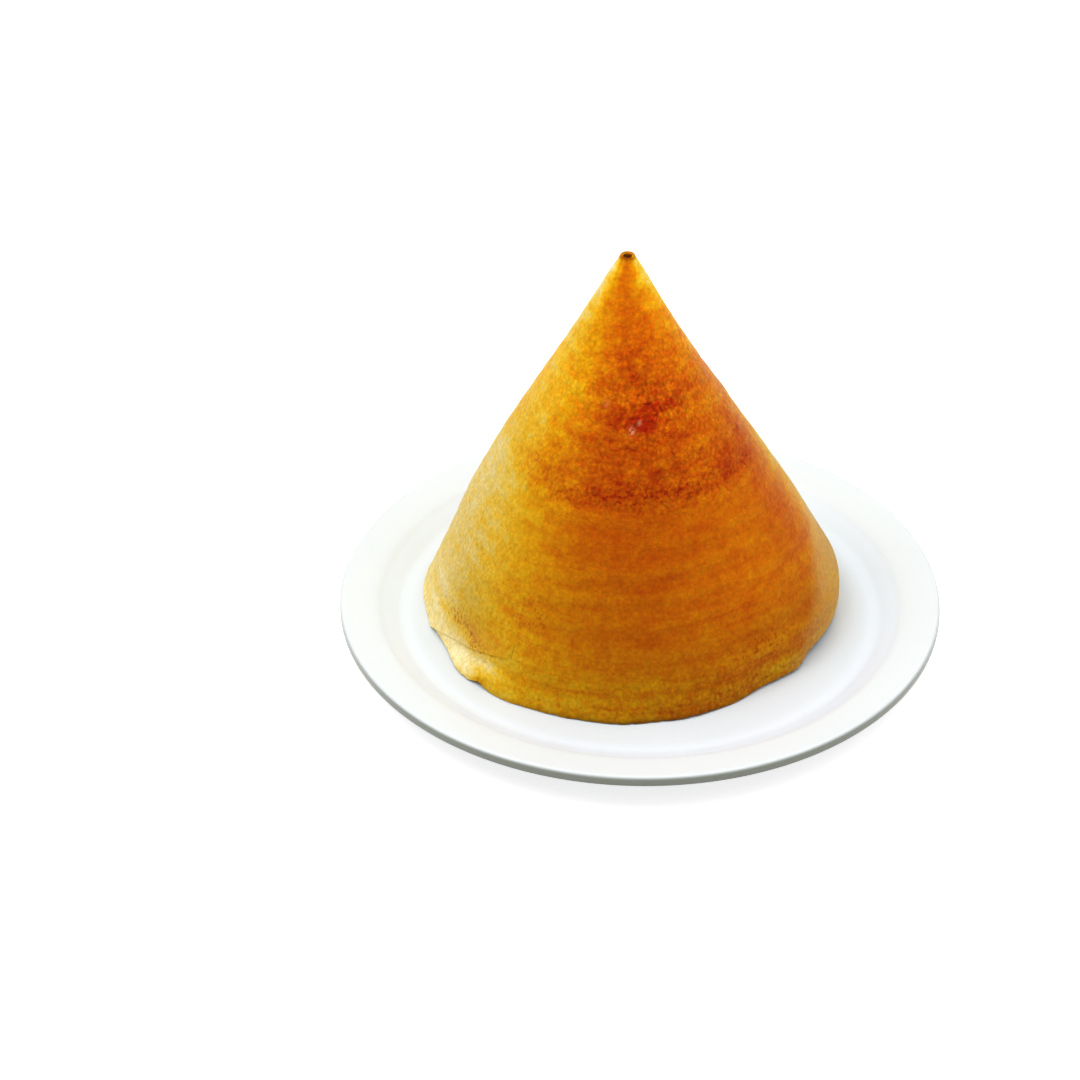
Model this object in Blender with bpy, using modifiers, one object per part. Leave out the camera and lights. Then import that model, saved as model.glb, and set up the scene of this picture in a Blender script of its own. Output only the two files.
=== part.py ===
"""A cone dosa on its plate: a paper-thin crepe of rice batter, rolled into a tall cone, that stands on a
shallow white plate.

Metres, +Z up. The origin is on the plate's axis, at the height of the table. -Y is the front.
Azimuths on the dosa are in degrees, from the front (-Y) round towards the left (-X). Its slant runs from
0 at the tip to 1 at the hem."""

import math

import bmesh
import bpy
from mathutils import Vector

for left_over in list(bpy.data.objects):
    bpy.data.objects.remove(left_over)

# ---------------------------------------------------------------- plate
PLATE_RADIUS = 0.135
PLATE_HEIGHT = 0.020  # table to the top of the rim's outer edge
RIM_EDGE_DEPTH = 0.0052  # how far the rim's outer edge reaches down
RIM_INNER_RADIUS = 0.1185
RIM_INNER_HEIGHT = 0.0176
WELL_RADIUS = 0.107
WELL_HEIGHT = 0.0110  # table to the floor of the well
FOOT_RADIUS = 0.088
FOOT_WIDTH = 0.0050
FOOT_NECK_HEIGHT = 0.0022  # where the foot ring's outer face meets the underside
FOOT_SLOPE = 0.002  # how far the ring's inner face leans in
CERAMIC_THICKNESS = 0.0048
SLOPE_FILLET = 0.012  # at the bottom of the slope between well and rim, inside and underneath
RIM_FILLET = 0.010  # at the top of it
EDGE_TOP_FILLET = 0.0018
EDGE_UNDER_FILLET = 0.0015
NECK_FILLET = 0.004
FOOT_FILLET = 0.0012
INNER_FILLET = 0.002  # inside the foot ring
PLATE_STEPS = 80
ARC_STEPS = 3  # points along each rounded corner of the plate's section

# ---------------------------------------------------------------- the dosa's form
HEM_GAP = 0.0010  # the outer face's lowest edge to the plate; the inner face ends lower, by the slope
CONE_BASE = Vector((-0.0050, -0.0010, WELL_HEIGHT + HEM_GAP))
CONE_TIP = Vector((-0.0073, 0.0040, 0.1950))  # the tip leans a little to the left
CONE_HEIGHT = CONE_TIP.z - CONE_BASE.z
FRONT_RADIUS = 0.0868
TIP_RADIUS = 0.0043
FOOT_SWELLS = (  # azimuth, degrees to either side, how much further out the foot stands
    (-122, 64, 0.0036),  # the right, a little towards the back
    (118, 62, 0.0100),  # the left, likewise
    (40, 34, 0.0020),  # over the seam
    (-46, 44, -0.0040),  # a flatter place at the front right
)
BELLY = 0.0050  # how far the wall stands out from a straight cone
BELLY_SLANT = 0.58  # where it does so most
BELLY_REACH = 0.54  # how much of the slant it takes, above and below
SHOULDER = 0.0152  # the same on the right, where the wall is fullest low down and then drops straight
SHOULDER_SLANT = 0.89
SHOULDER_REACH_UP = 0.87
SHOULDER_REACH_DOWN = 0.185
SHOULDER_AZIMUTH = -105.0
SHOULDER_WIDTH = 100.0  # degrees to either side
RIPPLE = 0.0007  # broad shallow folds that wind down the wall
RIPPLE_COUNT = 4  # in one round
RIPPLE_START = 150.0
RIPPLE_TWIST = 5.0  # radians, from the tip to the hem
RIPPLE_SLANT = 0.6
RIPPLE_REACH = 0.5

# ---------------------------------------------------------------- the dosa's layers
SHEET_THICKNESS = 0.0012
TIP_THICKNESS = 0.0006
TIP_TAPER = 0.25  # the share of the slant over which the sheet comes to its full thickness
SEAM_THICKNESS = 0.0006  # the sheet is thinner along its outer end
SEAM_TAPER = 15.0  # degrees over which it thins
BASE_PITCH = 0.0018  # how far the roll steps out in one turn, at the base
TIP_PITCH = 0.0009
PITCH_GROWTH = 3.0  # the step has its full size from 1/3 of the slant on
SEAM_AZIMUTH = 39.0  # where the sheet's outer end lies
OVERLAP = 90.0  # the sheet goes on under itself for this many degrees
SWEEP = 360.0 + OVERLAP
HIDDEN_END_DROP = 0.12  # the hidden end starts this share of the slant below the tip
HIDDEN_END_LIFT = 0.002  # and ends this much above the hem

# ---------------------------------------------------------------- the dosa's hem
FLAP_WIDTH = 41.0  # degrees over which the outer layer's hem climbs to the seam
FLAP_RISE = 0.0170
FLAP_BEND = 0.85  # below 1, it climbs fastest where it starts and near the seam runs flatter
FLARE = 0.0034  # how far the inner layer's hem spreads where the outer one has lifted off it
FLARE_AZIMUTH = 57.0
FLARE_WIDTH = 18.0
FLARE_SHARE = 0.7  # the share of the bared strip that spreads
RUFFLE = 0.0005  # the last of the slant waves in and out, as a crisp thin edge does
RUFFLE_WAVES = ((11, 0.0, 1.0), (19, 70.0, 0.6))  # how many in one round, where they start, how high
RUFFLE_SLANT = 0.90  # where the waves begin
CURL = 0.0014  # a place where the edge turns outwards
CURL_AZIMUTH = -61.0
CURL_WIDTH = 8.0
HEM_WAVE = 0.0006  # the edge rises and falls on the right
HEM_WAVE_COUNT = 13
HEM_WAVE_AZIMUTH = -90.0
HEM_WAVE_WIDTH = 120.0
HEM_LIFT = 0.0024  # where the edge stands clear of the plate
HEM_LIFT_AZIMUTH = -73.0
HEM_LIFT_WIDTH = 25.0

TURN_STEPS = 90  # 5 degrees each, so that the layers' facets lie parallel
SLANT_STEPS = 21
HEM_CROWDING = 1.5  # above 1, the rows of faces come closer together towards the hem

# ---------------------------------------------------------------- finishes
DOSA_BROWN = (0.52, 0.19, 0.012)
DOSA_ROUGHNESS = 0.55
GLAZE_WHITE = (0.86, 0.86, 0.84)
GLAZE_ROUGHNESS = 0.22


def bump(value, centre, half_width):
    """1 at the centre, falling smoothly to 0 at half_width on either side."""
    distance = min(abs(value - centre) / half_width, 1.0)
    return 0.5 + 0.5 * math.cos(math.pi * distance)


def azimuth_bump(azimuth, centre, half_width):
    """A bump round the cone, where 360 degrees is 0 again."""
    return bump((azimuth - centre + 180.0) % 360.0, 180.0, half_width)


def smooth_step(value, low, high):
    share = min(max((value - low) / (high - low), 0.0), 1.0)
    return share * share * (3.0 - 2.0 * share)


def mix(a, b, share):
    return a + (b - a) * share


# ---------------------------------------------------------------- the rolled sheet
def azimuth_at(turn):
    """The azimuth of the sheet at this many degrees from its hidden inner end."""
    return (SEAM_AZIMUTH + SWEEP - turn) % 360.0


def foot_radius(azimuth):
    """The cone's radius at the plate: an egg, fuller on both sides of the back than at the front."""
    swells = sum(swell * azimuth_bump(azimuth, centre, width) for centre, width, swell in FOOT_SWELLS)
    return FRONT_RADIUS + swells


def fullness(azimuth, slant):
    """How far the wall stands out from a straight cone."""
    belly = BELLY * bump(slant, BELLY_SLANT, BELLY_REACH)
    reach = SHOULDER_REACH_UP if slant < SHOULDER_SLANT else SHOULDER_REACH_DOWN
    shoulder = SHOULDER * bump(slant, SHOULDER_SLANT, reach)
    winding = math.radians(RIPPLE_COUNT * azimuth + RIPPLE_START) + RIPPLE_TWIST * slant
    ripple = RIPPLE * math.sin(winding) * bump(slant, RIPPLE_SLANT, RIPPLE_REACH)
    return mix(belly, shoulder, azimuth_bump(azimuth, SHOULDER_AZIMUTH, SHOULDER_WIDTH)) + ripple


def flap_rise(azimuth):
    """How high the outer layer's hem has climbed at this azimuth, on its way to the seam."""
    return FLAP_RISE * max(0.0, 1.0 - (azimuth - SEAM_AZIMUTH) / FLAP_WIDTH) ** FLAP_BEND


def hem_ruffle(turn, slant):
    """How far the last of the slant stands out from the wall."""
    azimuth = azimuth_at(turn)
    waves = sum(high * math.sin(math.radians(count * azimuth + start)) for count, start, high in RUFFLE_WAVES)
    curl = CURL * azimuth_bump(azimuth, CURL_AZIMUTH, CURL_WIDTH)
    ruffle = (RUFFLE * waves + curl) * smooth_step(slant, RUFFLE_SLANT, 1.0)
    bared = flap_rise(azimuth) / CONE_HEIGHT
    if turn < OVERLAP and bared > 0.0:
        spread = smooth_step(slant, 1.0 - FLARE_SHARE * bared, 1.0)
        ruffle += FLARE * spread * bump(azimuth, FLARE_AZIMUTH, FLARE_WIDTH)
    return ruffle


def hem_height(turn):
    """How far the sheet's lower edge stays above the plate at this turn."""
    azimuth = azimuth_at(turn)
    wave = HEM_WAVE * (1.0 + math.sin(math.radians(HEM_WAVE_COUNT * azimuth)))
    wave *= azimuth_bump(azimuth, HEM_WAVE_AZIMUTH, HEM_WAVE_WIDTH)
    if turn > 360.0:
        return wave + flap_rise(azimuth)
    return wave + HEM_LIFT * azimuth_bump(azimuth, HEM_LIFT_AZIMUTH, HEM_LIFT_WIDTH)


def sheet_point(turn, share):
    """The sheet's outer face at this turn, from its upper edge (share 0) to its hem (share 1)."""
    azimuth = azimuth_at(turn)
    hidden = 1.0 - min(turn / OVERLAP, 1.0)
    upper = HIDDEN_END_DROP * smooth_step(hidden, 0.0, 0.5)
    lower = 1.0 - (hem_height(turn) + HIDDEN_END_LIFT * hidden) / CONE_HEIGHT
    slant = mix(upper, lower, share)
    radius = mix(TIP_RADIUS, foot_radius(azimuth), slant) + fullness(azimuth, slant) + hem_ruffle(turn, slant)
    radius -= mix(TIP_PITCH, BASE_PITCH, min(slant * PITCH_GROWTH, 1.0)) * (SWEEP - turn) / 360.0
    axis = CONE_TIP.lerp(CONE_BASE, slant)
    angle = math.radians(azimuth)
    return axis + Vector((-radius * math.sin(angle), -radius * math.cos(angle), 0.0))


def thickness_share(turn, share):
    """The sheet's thickness here, as a share of SHEET_THICKNESS."""
    tip = mix(TIP_THICKNESS, SHEET_THICKNESS, smooth_step(share, 0.0, TIP_TAPER)) / SHEET_THICKNESS
    seam = mix(SEAM_THICKNESS / SHEET_THICKNESS, 1.0, smooth_step(SWEEP - turn, 0.0, SEAM_TAPER))
    return tip * seam


def rolled_sheet():
    """The dosa: one sheet, a grid bent into a spiral cone and then given its thickness inwards."""
    shape = bmesh.new()
    bmesh.ops.create_grid(shape, x_segments=TURN_STEPS, y_segments=SLANT_STEPS, size=0.5)
    places = [(SWEEP * (v.co.x + 0.5), 1.0 - (v.co.y + 0.5) ** HEM_CROWDING) for v in shape.verts]
    for vertex, (turn, share) in zip(shape.verts, places):
        vertex.co = sheet_point(turn, share)
    mesh = bpy.data.meshes.new("dosa")
    shape.to_mesh(mesh)
    shape.free()
    dosa = bpy.data.objects.new("dosa", mesh)
    weights = dosa.vertex_groups.new(name="thickness")
    for index, (turn, share) in enumerate(places):
        weights.add([index], thickness_share(turn, share), "REPLACE")
    solidify = dosa.modifiers.new("sheet", "SOLIDIFY")
    solidify.thickness = SHEET_THICKNESS
    solidify.offset = -1.0
    solidify.vertex_group = weights.name
    return dosa


# ---------------------------------------------------------------- the plate
def rounded(corners):
    """A polyline through (radius, height, fillet) corners, with an arc of points at each fillet."""
    line = []
    for before, corner, after in zip(corners, corners[1:], corners[2:]):
        here = Vector(corner[:2])
        back = Vector(before[:2]) - here
        on = Vector(after[:2]) - here
        half_turn = (math.pi - back.angle(on)) / 2
        longest = 0.48 * min(back.length, on.length)  # the arcs of two neighbouring corners stay apart
        reach = min(corner[2] * math.tan(half_turn), longest)
        start = here + back.normalized() * reach
        end = here + on.normalized() * reach
        for step in range(ARC_STEPS + 1):
            t = step / ARC_STEPS
            line.append(start.lerp(here, t).lerp(here.lerp(end, t), t))
    return [Vector(corners[0][:2])] + line + [Vector(corners[-1][:2])]


def plate():
    """The plate: its half section turned about Z."""
    under_rim = PLATE_HEIGHT - RIM_EDGE_DEPTH
    under_well = WELL_HEIGHT - CERAMIC_THICKNESS
    foot_inner = FOOT_RADIUS - FOOT_WIDTH
    section = rounded(
        [
            (0.0, WELL_HEIGHT, 0.0),
            (WELL_RADIUS, WELL_HEIGHT, SLOPE_FILLET),
            (RIM_INNER_RADIUS, RIM_INNER_HEIGHT, RIM_FILLET),
            (PLATE_RADIUS, PLATE_HEIGHT, EDGE_TOP_FILLET),
            (PLATE_RADIUS, under_rim, EDGE_UNDER_FILLET),
            (RIM_INNER_RADIUS, RIM_INNER_HEIGHT - CERAMIC_THICKNESS, SLOPE_FILLET),
            (FOOT_RADIUS, FOOT_NECK_HEIGHT, NECK_FILLET),
            (FOOT_RADIUS, 0.0, FOOT_FILLET),
            (foot_inner, 0.0, FOOT_FILLET),
            (foot_inner - FOOT_SLOPE, under_well, INNER_FILLET),
            (0.0, under_well, 0.0),
        ]
    )
    mesh = bpy.data.meshes.new("plate")
    edges = [(i, i + 1) for i in range(len(section) - 1)]
    mesh.from_pydata([(p.x, 0.0, p.y) for p in section], edges, [])
    turned = bpy.data.objects.new("plate", mesh)
    screw = turned.modifiers.new("turn", "SCREW")
    screw.steps = screw.render_steps = PLATE_STEPS
    screw.use_merge_vertices = True
    screw.merge_threshold = 0.0001
    screw.use_normal_calculate = True
    return turned


# ---------------------------------------------------------------- the scene
def material(name, colour, roughness):
    made = bpy.data.materials.new(name)
    made.use_nodes = True
    shader = made.node_tree.nodes["Principled BSDF"]
    shader.inputs["Base Color"].default_value = (*colour, 1.0)
    shader.inputs["Roughness"].default_value = roughness
    shader.inputs["Metallic"].default_value = 0.0
    return made


def build():
    parts = bpy.data.collections.new("cone_dosa_on_plate")
    bpy.context.scene.collection.children.link(parts)
    finishes = (
        (plate(), material("glazed_porcelain", GLAZE_WHITE, GLAZE_ROUGHNESS)),
        (rolled_sheet(), material("griddled_rice_batter", DOSA_BROWN, DOSA_ROUGHNESS)),
    )
    for obj, finish in finishes:
        parts.objects.link(obj)
        obj.data.materials.append(finish)
    bpy.context.view_layer.update()
    for obj, _ in finishes:
        obj.data.shade_smooth()


build()
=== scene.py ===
"""The looks of a cone dosa on its plate: a paper-thin crepe of fermented rice and black gram batter, griddled
in ghee, rolled into a tall cone and stood on a white porcelain plate.

Metres, +Z up, -Y is the front. On the dosa an azimuth is in degrees from the front round towards the left
(-X), the slant runs from 0 at the tip to 1 at the hem, and the turn runs in degrees along the rolled sheet,
from its hidden inner end. A pair of slants is where something sets in and where it is complete."""

import math

import bmesh
import bpy
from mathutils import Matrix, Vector, noise


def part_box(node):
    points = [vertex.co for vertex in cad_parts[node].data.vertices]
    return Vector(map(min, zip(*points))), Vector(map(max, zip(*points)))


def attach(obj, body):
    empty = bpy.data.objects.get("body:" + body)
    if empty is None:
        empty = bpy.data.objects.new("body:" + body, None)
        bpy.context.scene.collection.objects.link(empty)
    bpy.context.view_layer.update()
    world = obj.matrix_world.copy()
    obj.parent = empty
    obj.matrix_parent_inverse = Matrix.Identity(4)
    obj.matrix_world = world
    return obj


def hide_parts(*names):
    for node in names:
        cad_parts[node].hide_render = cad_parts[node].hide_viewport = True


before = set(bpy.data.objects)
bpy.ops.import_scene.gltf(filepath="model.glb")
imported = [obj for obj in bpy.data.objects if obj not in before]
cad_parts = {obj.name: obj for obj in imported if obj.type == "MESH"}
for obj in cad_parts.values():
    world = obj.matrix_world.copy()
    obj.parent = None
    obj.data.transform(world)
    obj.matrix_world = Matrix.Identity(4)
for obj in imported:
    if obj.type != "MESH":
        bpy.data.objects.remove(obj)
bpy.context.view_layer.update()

_, PLATE_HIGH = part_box("plate")
_, DOSA_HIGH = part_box("dosa")

# ---------------------------------------------------------------- plate
PLATE_RADIUS = PLATE_HIGH.x
PLATE_HEIGHT = PLATE_HIGH.z
RIM_EDGE_DEPTH = 0.0052  # how far the rim's outer edge reaches down
RIM_INNER_RADIUS = 0.1185
RIM_INNER_HEIGHT = 0.0176
WELL_RADIUS = 0.107
WELL_HEIGHT = 0.0110  # table to the floor of the well
FOOT_RADIUS = 0.088
FOOT_WIDTH = 0.0050
FOOT_NECK_HEIGHT = 0.0022  # where the foot ring's outer face meets the underside
FOOT_SLOPE = 0.002  # how far the ring's inner face leans in
CERAMIC_THICKNESS = 0.0048
SLOPE_FILLET = 0.012  # at the bottom of the slope between well and rim, inside and underneath
RIM_FILLET = 0.010  # at the top of it
EDGE_TOP_FILLET = 0.0018
EDGE_UNDER_FILLET = 0.0015
NECK_FILLET = 0.004
FOOT_FILLET = 0.0012
INNER_FILLET = 0.002  # inside the foot ring
PLATE_STEPS = 256
ARC_STEPS = 10  # points along each rounded corner of the plate's section
AXIS_MERGE = 0.00005  # the turned section's points on the axis become one

# ---------------------------------------------------------------- the dosa's form
HEM_GAP = 0.0004  # the hem stands this far above the well
CONE_BASE = Vector((-0.0050, -0.0010, WELL_HEIGHT + HEM_GAP))
CONE_TIP = Vector((-0.0073, 0.0040, DOSA_HIGH.z))  # the tip leans a little to the left
CONE_HEIGHT = CONE_TIP.z - CONE_BASE.z
FRONT_RADIUS = 0.0868
SLANT_LENGTH = math.hypot(CONE_HEIGHT, FRONT_RADIUS)  # tip to hem, along the wall
OPENING = math.asin(FRONT_RADIUS / SLANT_LENGTH)  # the wall's angle to the cone's axis
TIP_RADIUS = 0.0043
TIP_PINCH = 0.0008  # the layers are pinched together round the mouth
TIP_PINCH_SLANT = 0.06
FOOT_SWELLS = (  # azimuth, degrees to either side, how much further out the foot stands
    (-122, 64, 0.0036),  # the right, a little towards the back
    (118, 62, 0.0100),  # the left, likewise
    (40, 34, 0.0020),  # over the seam
    (-46, 44, -0.0040),  # a flatter place at the front right
)
BELLY = 0.0050  # how far the wall stands out from a straight cone
BELLY_SLANT = 0.58  # where it does so most
BELLY_REACH = 0.54  # how much of the slant it takes, above and below
SHOULDER = 0.0152  # the same on the right, where the wall is fullest low down and then drops straight
SHOULDER_SLANT = 0.89
SHOULDER_REACH_UP = 0.87
SHOULDER_REACH_DOWN = 0.185
SHOULDER_AZIMUTH = -105.0
SHOULDER_WIDTH = 100.0  # degrees to either side
RIPPLE = 0.0007  # broad shallow folds that wind down the wall
RIPPLE_COUNT = 4  # in one round
RIPPLE_START = 150.0
RIPPLE_TWIST = 5.0  # radians, from the tip to the hem
RIPPLE_SLANT = 0.6
RIPPLE_REACH = 0.5

# ---------------------------------------------------------------- the dosa's layers
SHEET_THICKNESS = 0.0012
TIP_THICKNESS = 0.0024  # the layers are folded over at the mouth
TIP_TAPER = (0.0, 0.05)
HEM_THICKNESS = 0.0006
HEM_TAPER = (0.93, 1.0)
SEAM_THICKNESS = 0.00003  # the batter runs out to nothing along the outer end
SEAM_TAPER = 12.0  # degrees over which it thins
SEAM_CORNER = 12.0  # how much thicker the seam gets again at its lower corner
SEAM_CORNER_SLANTS = (0.86, 0.96)
SEAM_AZIMUTH = 39.0  # where the sheet's outer end lies
SEAM_STEP = 0.00003  # the crisp outer end lies pressed on to the layer below it
SEAM_LIFT = 0.0007  # how far it has come away from it at the hem
SEAM_LIFT_SLANTS = (0.84, 0.97)
SEAM_DIP = 16.0  # degrees over which it sinks on to it
BASE_PITCH = 0.0018  # how far the roll steps out in one turn, at the base
TIP_PITCH = 0.0009
PITCH_GROWTH = 3.0  # the step has its full size from 1/3 of the slant on
OVERLAP = 90.0  # the sheet goes on under itself for this many degrees
SWEEP = 360.0 + OVERLAP
HIDDEN_END_DROP = 0.12  # the hidden end starts this share of the slant below the tip
HIDDEN_END_LIFT = 0.002  # and ends this much above the hem

# ---------------------------------------------------------------- the dosa's hem
FLAP_WIDTH = 41.0  # degrees over which the outer layer's hem climbs to the seam
FLAP_RISE = 0.0170
FLAP_BEND = 0.85  # below 1, it climbs fastest where it starts and near the seam runs flatter
FLAP_THICKNESS = 0.0006
FLAP_CLING = 0.0008  # how far the flap has sunk towards the layer below it
FLAP_TURNS = (372.0, 405.0)  # the turns and the shares of the way to the hem over which it thins and sinks
FLAP_SHARES = (0.80, 0.97)
FLARE = 0.0034  # how far the inner layer's hem spreads where the outer one has lifted off it
FLARE_AZIMUTH = 57.0
FLARE_WIDTH = 18.0
FLARE_SHARE = 0.7  # the share of the bared strip that spreads
RUFFLE = 0.0005  # the last of the slant waves in and out, as a crisp thin edge does
RUFFLE_WAVES = ((11, 0.0, 1.0), (19, 70.0, 0.6))  # how many in one round, where they start, how high
RUFFLE_SLANT = 0.90  # where the waves begin
CURL = 0.0014  # a place where the edge turns outwards
CURL_AZIMUTH = -61.0
CURL_WIDTH = 8.0
HEM_WAVE = 0.0006  # the edge rises and falls on the right
HEM_WAVE_COUNT = 13
HEM_WAVE_AZIMUTH = -90.0
HEM_WAVE_WIDTH = 120.0
HEM_LIFT = 0.0024  # where the edge stands clear of the plate
HEM_LIFT_AZIMUTH = -73.0
HEM_LIFT_WIDTH = 25.0
HEM_NOTCH = 0.0014  # a nick at the end of the bared strip
HEM_NOTCH_AZIMUTH = 48.0
HEM_NOTCH_WIDTH = 4.0
HEM_CHIP_WIDTH = 0.0035  # the crisp edge breaks off in chips about this wide
HEM_CHIP_DEPTH = 0.0007
HEM_CHIPS = ((1.0, 7.0, 1.0), (2.7, 3.0, 0.5))  # how many to a chip's width, where the noise is cut, how deep

TURN_STEPS = 396
SLANT_STEPS = 124
HEM_CROWDING = 1.15  # above 1, the rows of faces come closer together towards the hem
CRISP_ANGLE = 50.0  # sharper edges than this aren't smoothed

# ---------------------------------------------------------------- the dosa's relief
RING_SPACING = 0.0122  # between the ridges that the ladle leaves as it spreads the batter in a spiral
RING_RELIEF = 0.00016
RING_SLANTS = (0.1, 0.3)
RING_SWAY = 0.35  # how far the ridges wander, as a share of their spacing
RING_SWAY_COUNT = 1.7
RING_SWAY_LENGTH = 0.06
RING_STRENGTH = 0.55  # the ladle pressed unevenly: how strong the ridges are, and how much that varies
RING_FADING = 0.9
RING_FADING_COUNT = 3.1
RING_FADING_LENGTH = 0.02
DENT_WIDTH = 0.024
DENT_RELIEF = 0.0005
DENT_SLANTS = (0.08, 0.3)
BLISTER_WIDTH = 0.0045
BLISTER_RELIEF = 0.00010
BLISTER_SLANTS = (0.02, 0.1)

# ---------------------------------------------------------------- how browned the dosa is
# 0 is pale batter and 1 is sienna. A side of the cone is given as its azimuth and the degrees to either side.
BROWNEST = (-24, 118)  # the side that is browned most
BROWNEST_BEND = 0.85  # below 1, the brown side is broader
BACK_BROWN = (176, 80)
BACK_BROWNING = 0.48  # how brown the back is beside it
UPPER_SLANTS = (0.45, 0.56)  # the ghee ran down to here, and above it the wall fried darker
PALE_SIDE = (0.03, 0.19)  # the palest side, below and above that
BROWN_SIDE = (0.69, 0.82)  # the brownest side, likewise
TIP_SLANTS = (0.0, 0.24)
TIP_PALING = 0.22
TIP_PALING_ROUND = (0.7, 1.5)  # at the front and at the back
TIP_PALING_BACK = (180, 160)
RING_BROWNING = 0.045  # the furrows are thinner, and brown more
MOUTH_SLANTS = (0.002, 0.010)  # where the browned lip of the mouth ends
MOUTH_FRONT = (-6, 75)
MOUTH_ROUND = (0.7, 1.0)  # how strong the lip is at the back and at the front
MOUTH_BROWNING = 0.62
ARC_SLANT = 0.50  # the rough dark line where the ghee ran out to
BROWN_BANDS = (  # slants over which it sets in, its side, how much browner
    ((0.78, 0.98), (10, 75), -0.30),
    ((0.78, 0.98), (-70, 60), -0.12),
)
BROWN_PATCHES = (  # (azimuth, slant), spread of each, how much browner
    ((-8, 0.34), (34, 0.10), 0.10),
    ((-15, ARC_SLANT), (48, 0.026), 0.14),
    ((-13, 0.336), (14, 0.024), 0.32),
    ((-40, 0.300), (18, 0.022), 0.27),
    ((58, 0.970), (14, 0.030), -0.16),
    ((48, 0.985), (3, 0.012), 0.28),
    ((36, 0.970), (14, 0.030), 0.10),
    ((62, 0.912), (13, 0.030), 0.14),
    ((-72, 0.860), (10, 0.090), 0.18),
    ((-84, 0.740), (16, 0.030), 0.09),
    ((-72, 0.820), (10, 0.080), -0.11),
    ((-52, 0.980), (10, 0.030), -0.10),
    ((14, 0.980), (34, 0.030), 0.07),
    ((15, 0.500), (10, 0.026), 0.08),
    ((-16, 0.500), (10, 0.026), -0.09),
    ((-20, 0.100), (14, 0.050), -0.08),
    ((60, 0.420), (16, 0.040), -0.07),
    ((-32, 0.300), (26, 0.050), -0.08),
    ((30, 0.050), (34, 0.040), 0.08),
    ((-30, 0.200), (60, 0.040), -0.05),
    ((4, 0.100), (70, 0.050), 0.07),
    ((-60, 0.020), (40, 0.050), -0.11),
    ((-28, 0.820), (16, 0.160), -0.06),
    ((-80, 0.500), (16, 0.050), 0.11),
    ((-32, 0.140), (10, 0.030), 0.10),
    ((70, 0.980), (26, 0.030), -0.14),
    ((-61, 0.480), (7, 0.030), 0.26),
    ((50, 0.500), (18, 0.020), 0.05),
    ((-52, 0.020), (40, 0.160), -0.32),
    ((-80, 0.620), (16, 0.160), 0.26),
    ((-32, 0.380), (26, 0.160), -0.11),
    ((12, 0.580), (26, 0.090), 0.14),
    ((28, 0.900), (26, 0.090), 0.09),
    ((44, 0.300), (16, 0.090), -0.10),
    ((47, 0.949), (7, 0.014), -0.19),  # the inner layer, bared below the flap
    ((82, 0.915), (9, 0.050), -0.06),
    ((150, 0.420), (24, 0.050), 0.26),  # round the back from here on
    ((-130, 0.340), (30, 0.060), 0.30),
    ((-175, 0.280), (40, 0.090), 0.22),
    ((180, 0.490), (60, 0.025), 0.16),
    ((-150, 0.640), (30, 0.060), 0.20),
    ((155, 0.760), (28, 0.070), 0.18),
    ((-128, 0.860), (22, 0.050), 0.14),
    ((122, 0.620), (16, 0.050), 0.12),
)

# ---------------------------------------------------------------- how light the dosa is: its toast, and painted shade
TIP_LIGHTNESS = 1.22
WALL_PAINTED_SHADE = 0.34  # painted shade: the wall is darker below the tip, and the hem darker again, as less light falls on them than on the top
WALL_SLANTS = (0.10, 0.50)
HEM_PAINTED_SHADE = 0.32
HEM_SLANTS = (0.84, 0.99)
MOUTH_DARKENING = 0.85
TOAST_AND_SHADE_BANDS = (  # slants over which it sets in, its side, how much lighter
    ((0.52, 0.86), (2, 62), -0.17),
    # the painted shade on the hem is taken off again on the left, where the light falls
    (HEM_SLANTS, (95, 70), HEM_PAINTED_SHADE),
    ((0.40, 0.60), (95, 80), 0.10),
    # the last of the hem at the front: partly a burnt edge, partly painted contact shade
    ((0.987, 1.0), (0, 85), -0.30),
)
TOAST_PATCHES = (  # (azimuth, slant), spread of each, how much lighter
    ((-52, 0.46), (40, 0.30), 0.20),
    ((-84, 0.86), (70, 0.05), -0.18),
    ((64, 0.86), (16, 0.09), -0.20),
    ((80, 0.18), (70, 0.09), -0.12),
    ((-64, 0.02), (40, 0.16), 0.13),
    ((24, 0.98), (40, 0.05), 0.17),
    ((68, 0.42), (70, 0.16), 0.08),
    ((48, 0.988), (4, 0.010), -0.30),
    ((-14, 0.335), (16, 0.05), 0.16),
    ((-48, 0.70), (26, 0.09), 0.08),
    ((180, 0.75), (60, 0.25), -0.12),
    ((-86, 0.88), (12, 0.05), 0.12),
    ((-84, 0.98), (16, 0.04), 0.20),
    ((56, 0.98), (16, 0.04), 0.16),
    ((-36, 0.14), (26, 0.05), 0.10),
    ((46, 0.951), (6, 0.014), 0.10),
)

# ---------------------------------------------------------------- specks, grain, painted reflected light and painted glints on the dosa
SPECKS_EVERYWHERE = 0.05
SPECK_CLUSTERS = (  # (azimuth, slant), spread of each, how thickly they lie
    ((67, 0.910), (9, 0.018), 1.10),
    ((56, 0.932), (8, 0.014), 0.90),
    ((33, 0.790), (5, 0.025), 0.45),
    ((60, 0.740), (30, 0.120), 0.16),
    ((38, 0.860), (14, 0.060), 0.20),
    ((-48, 0.900), (12, 0.035), 0.5),
    ((-10, ARC_SLANT), (60, 0.030), 0.5),
    ((-30, 0.970), (60, 0.020), 0.4),
)
FRIED = (-24, 130)  # the side where the ghee fried the batter, and where its grain is coarsest
FRIED_END_SLANTS = (0.50, 0.56)
FRIED_START_SLANTS = (0.08, 0.28)
FRIED_TIP = 0.25  # how much of that there is at the tip
FRIED_BANDS = (((0.86, 0.95), (-25, 90), 0.5),)
FRIED_PATCHES = (((-22, 0.32), (24, 0.05), 1.2),)
GRAIN_EVERYWHERE = 0.56
GRAIN_FRIED = 0.62  # how much stronger the grain is where the batter is fried
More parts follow.
